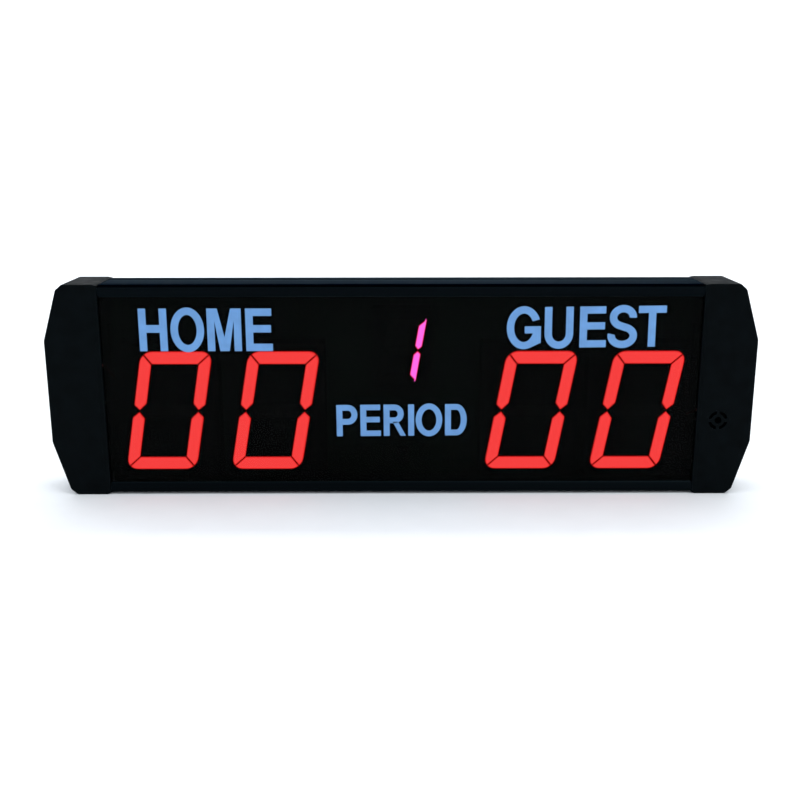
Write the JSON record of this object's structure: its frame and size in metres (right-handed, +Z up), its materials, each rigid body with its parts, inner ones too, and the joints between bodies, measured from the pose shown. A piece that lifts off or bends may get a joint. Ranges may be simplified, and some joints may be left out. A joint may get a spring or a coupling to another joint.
{
  "type": "LED score display",
  "caption": "Slim wall-hung LED score display: aluminium channel with a tinted lens, moulded end caps, seven-segment digits on a circuit board, buzzer, power socket and rocker switch.",
  "frame": {"origin": "bottom centre of the display's bounding box, where its caps stand on a level surface", "axes": "+Z up, -Y out of the front of the lens, +X to the right of someone who reads the display"},
  "size_m": [0.334, 0.03, 0.102],
  "materials": {
    "anodised_channel": "black anodised extrusion with fine lengthwise die lines, satin",
    "tinted_lens": "dark tinted acrylic sheet, polished, with pale blue printed words on its face",
    "textured_cap": "black ABS moulding with a fine spark texture",
    "cap_screw": "black zinc plated, cross recess",
    "digit_case": "black painted face of a moulded case",
    "red_segments": "diffusing resin, lit red",
    "pink_segments": "diffusing resin, two segments lit pinkish red",
    "circuit_board": "green solder mask over glass laminate",
    "chip_black": "moulded epoxy package, fine matte",
    "plated_metal": "nickel plated",
    "capacitor_sleeve": "heat-shrunk dark sleeve",
    "ferrite": "pressed ferrite, grey black",
    "white_nylon": "natural white nylon",
    "buzzer_case": "black moulded case",
    "socket_black": "black moulded socket",
    "contact_brass": "tinned brass, lightly dulled",
    "switch_black": "black moulded switch frame",
    "rocker_black": "black moulded rocker, satin",
    "red_wire": "soft PVC insulation",
    "black_wire": "soft PVC insulation"
  },
  "bodies": {
    "display": {"body_extrusion": "anodised_channel", "front_lens": "tinted_lens", "left_end_cap": "textured_cap", "right_end_cap": "textured_cap", "left_cap_screw_1": "cap_screw", "left_cap_screw_2": "cap_screw", "left_cap_screw_3": "cap_screw", "left_cap_screw_4": "cap_screw", "right_cap_screw_1": "cap_screw", "right_cap_screw_2": "cap_screw", "right_cap_screw_3": "cap_screw", "right_cap_screw_4": "cap_screw", "home_tens_digit_case": "digit_case", "home_units_digit_case": "digit_case", "guest_tens_digit_case": "digit_case", "guest_units_digit_case": "digit_case", "period_digit_case": "digit_case", "home_tens_segments": "red_segments", "home_units_segments": "red_segments", "guest_tens_segments": "red_segments", "guest_units_segments": "red_segments", "period_segments": "pink_segments", "main_board": "circuit_board", "microcontroller": "chip_black", "home_led_driver": "chip_black", "guest_led_driver": "chip_black", "period_led_driver": "chip_black", "voltage_regulator": "chip_black", "power_diode": "chip_black", "infrared_receiver": "chip_black", "backup_battery_holder": "chip_black", "clock_crystal": "plated_metal", "backup_battery": "plated_metal", "power_jack_nut": "plated_metal", "filter_capacitor": "capacitor_sleeve", "power_inductor": "ferrite", "power_header": "white_nylon", "power_plug": "white_nylon", "buzzer_header": "white_nylon", "buzzer_plug": "white_nylon", "buzzer": "buzzer_case", "power_jack": "socket_black", "power_jack_pin": "contact_brass", "switch_terminal_1": "contact_brass", "switch_terminal_2": "contact_brass", "switch_housing": "switch_black", "jack_to_switch_lead": "red_wire", "switch_to_board_lead": "red_wire", "buzzer_lead_red": "red_wire", "jack_to_board_lead": "black_wire", "buzzer_lead_black": "black_wire"},
    "rocker": {"switch_rocker": "rocker_black"}
  },
  "joints": [
    {"name": "power_switch", "type": "hinge", "parent": "display", "child": "rocker", "pos_m": [-0.1634, 0, 0.0575], "axis": [0, 1, 0], "range_deg": [-22, 0]}
  ]
}
